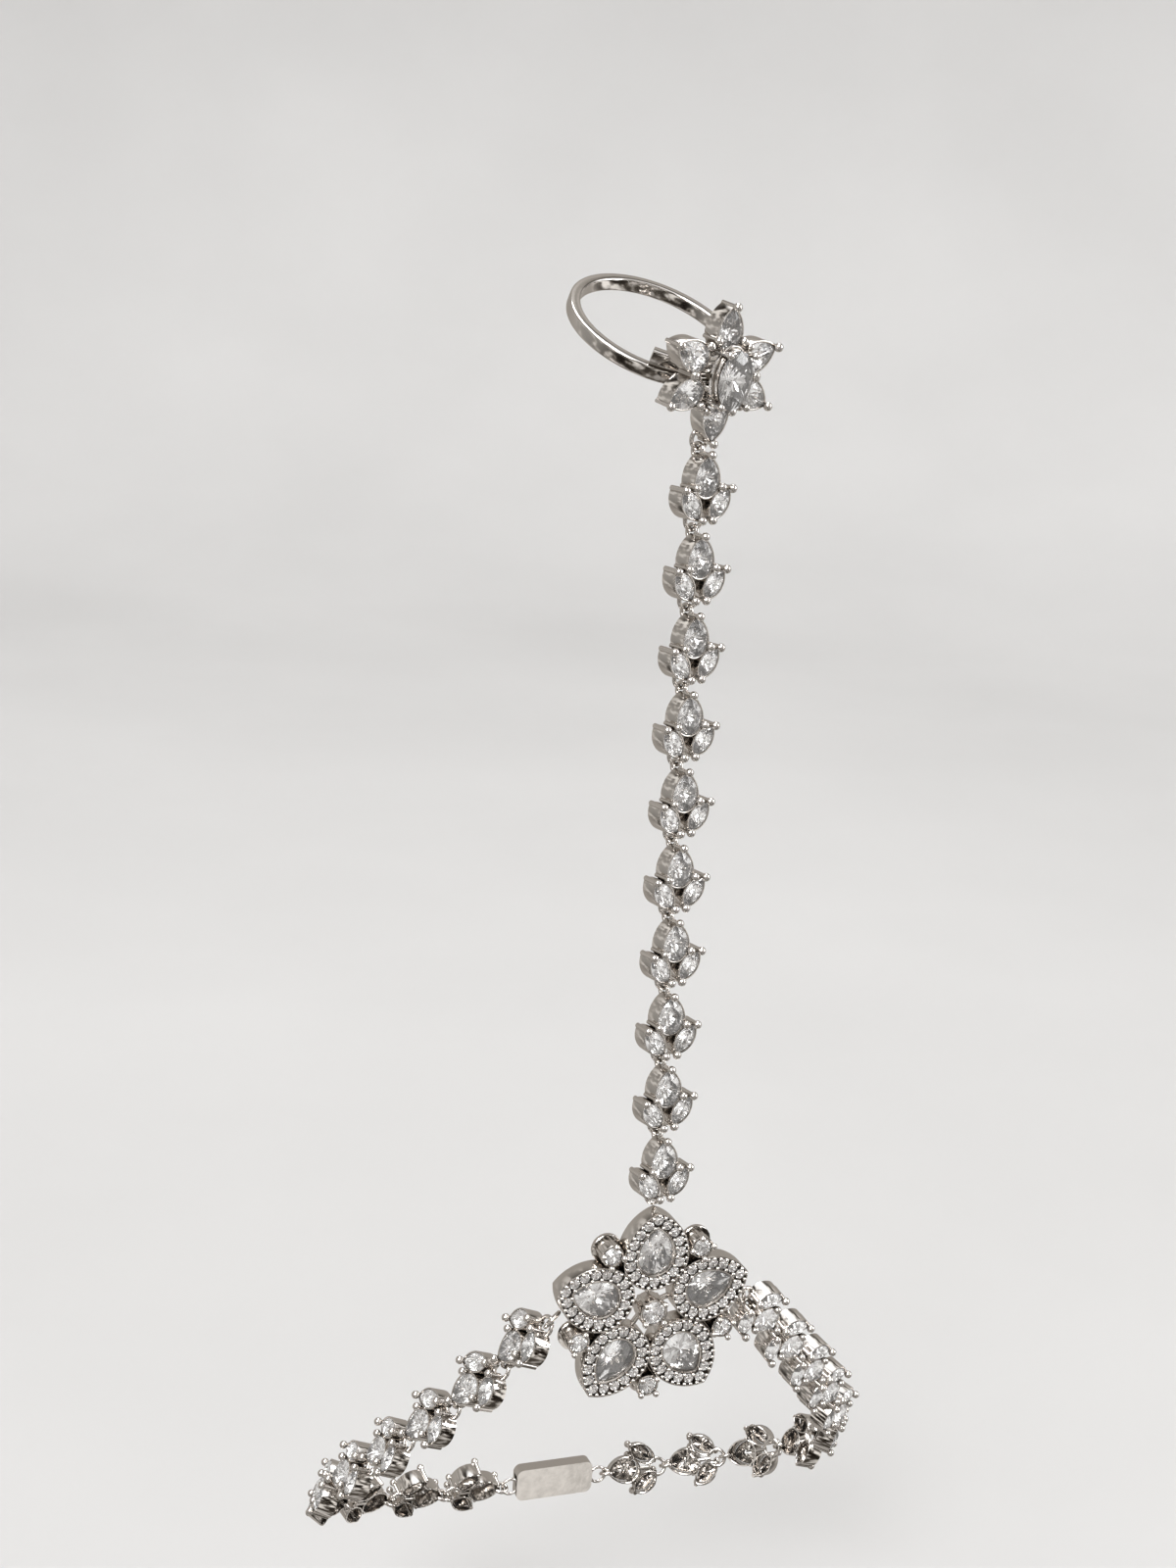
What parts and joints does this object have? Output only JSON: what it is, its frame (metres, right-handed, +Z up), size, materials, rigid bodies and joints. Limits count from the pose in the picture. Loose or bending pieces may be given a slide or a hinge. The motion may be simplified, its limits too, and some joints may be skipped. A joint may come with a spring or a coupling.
{
  "type": "hand chain bracelet with finger ring",
  "caption": "Hand chain bracelet: a wrist loop of stone-set links and a petal medallion, joined by a chain over the hand to a flower-headed finger ring.",
  "frame": {"origin": "middle of the wrist loop, where the wrist passes through", "axes": "+Z up the hand towards the fingertips, -Y the side that shows on the back of the hand, +X to the viewer's right"},
  "size_m": [0.0729, 0.0503, 0.1654],
  "materials": {
    "polished_metal": "bright rhodium polish",
    "clear_stone": "clear faceted stone"
  },
  "bodies": {
    "root": {"ring_band": "polished_metal", "ring_oval_stone": "clear_stone", "ring_pear_1": "clear_stone", "ring_pear_2": "clear_stone", "ring_pear_3": "clear_stone", "ring_pear_4": "clear_stone", "ring_pear_5": "clear_stone", "ring_pear_6": "clear_stone", "medallion_setting": "polished_metal", "medallion_centre_stone": "clear_stone", "medallion_pear_1": "clear_stone", "medallion_pear_2": "clear_stone", "medallion_pear_3": "clear_stone", "medallion_pear_4": "clear_stone", "medallion_pear_5": "clear_stone", "medallion_accent_stones": "clear_stone", "medallion_halo_stones": "clear_stone", "hand_link_01": "polished_metal", "hand_link_02": "polished_metal", "hand_link_03": "polished_metal", "hand_link_04": "polished_metal", "hand_link_05": "polished_metal", "hand_link_06": "polished_metal", "hand_link_07": "polished_metal", "hand_link_08": "polished_metal", "hand_link_09": "polished_metal", "hand_link_10": "polished_metal", "hand_chain_stones": "clear_stone", "left_link_01": "polished_metal", "left_link_02": "polished_metal", "left_link_03": "polished_metal", "left_link_04": "polished_metal", "left_link_05": "polished_metal", "left_link_06": "polished_metal", "left_link_07": "polished_metal", "left_link_08": "polished_metal", "left_link_09": "polished_metal", "left_link_10": "polished_metal", "left_strand_stones": "clear_stone", "left_jump_ring": "polished_metal", "right_link_01": "polished_metal", "right_link_02": "polished_metal", "right_link_03": "polished_metal", "right_link_04": "polished_metal", "right_link_05": "polished_metal", "right_link_06": "polished_metal", "right_link_07": "polished_metal", "right_link_08": "polished_metal", "right_link_09": "polished_metal", "right_link_10": "polished_metal", "right_strand_stones": "clear_stone", "right_jump_ring": "polished_metal", "clasp": "polished_metal"}
  },
  "joints": []
}
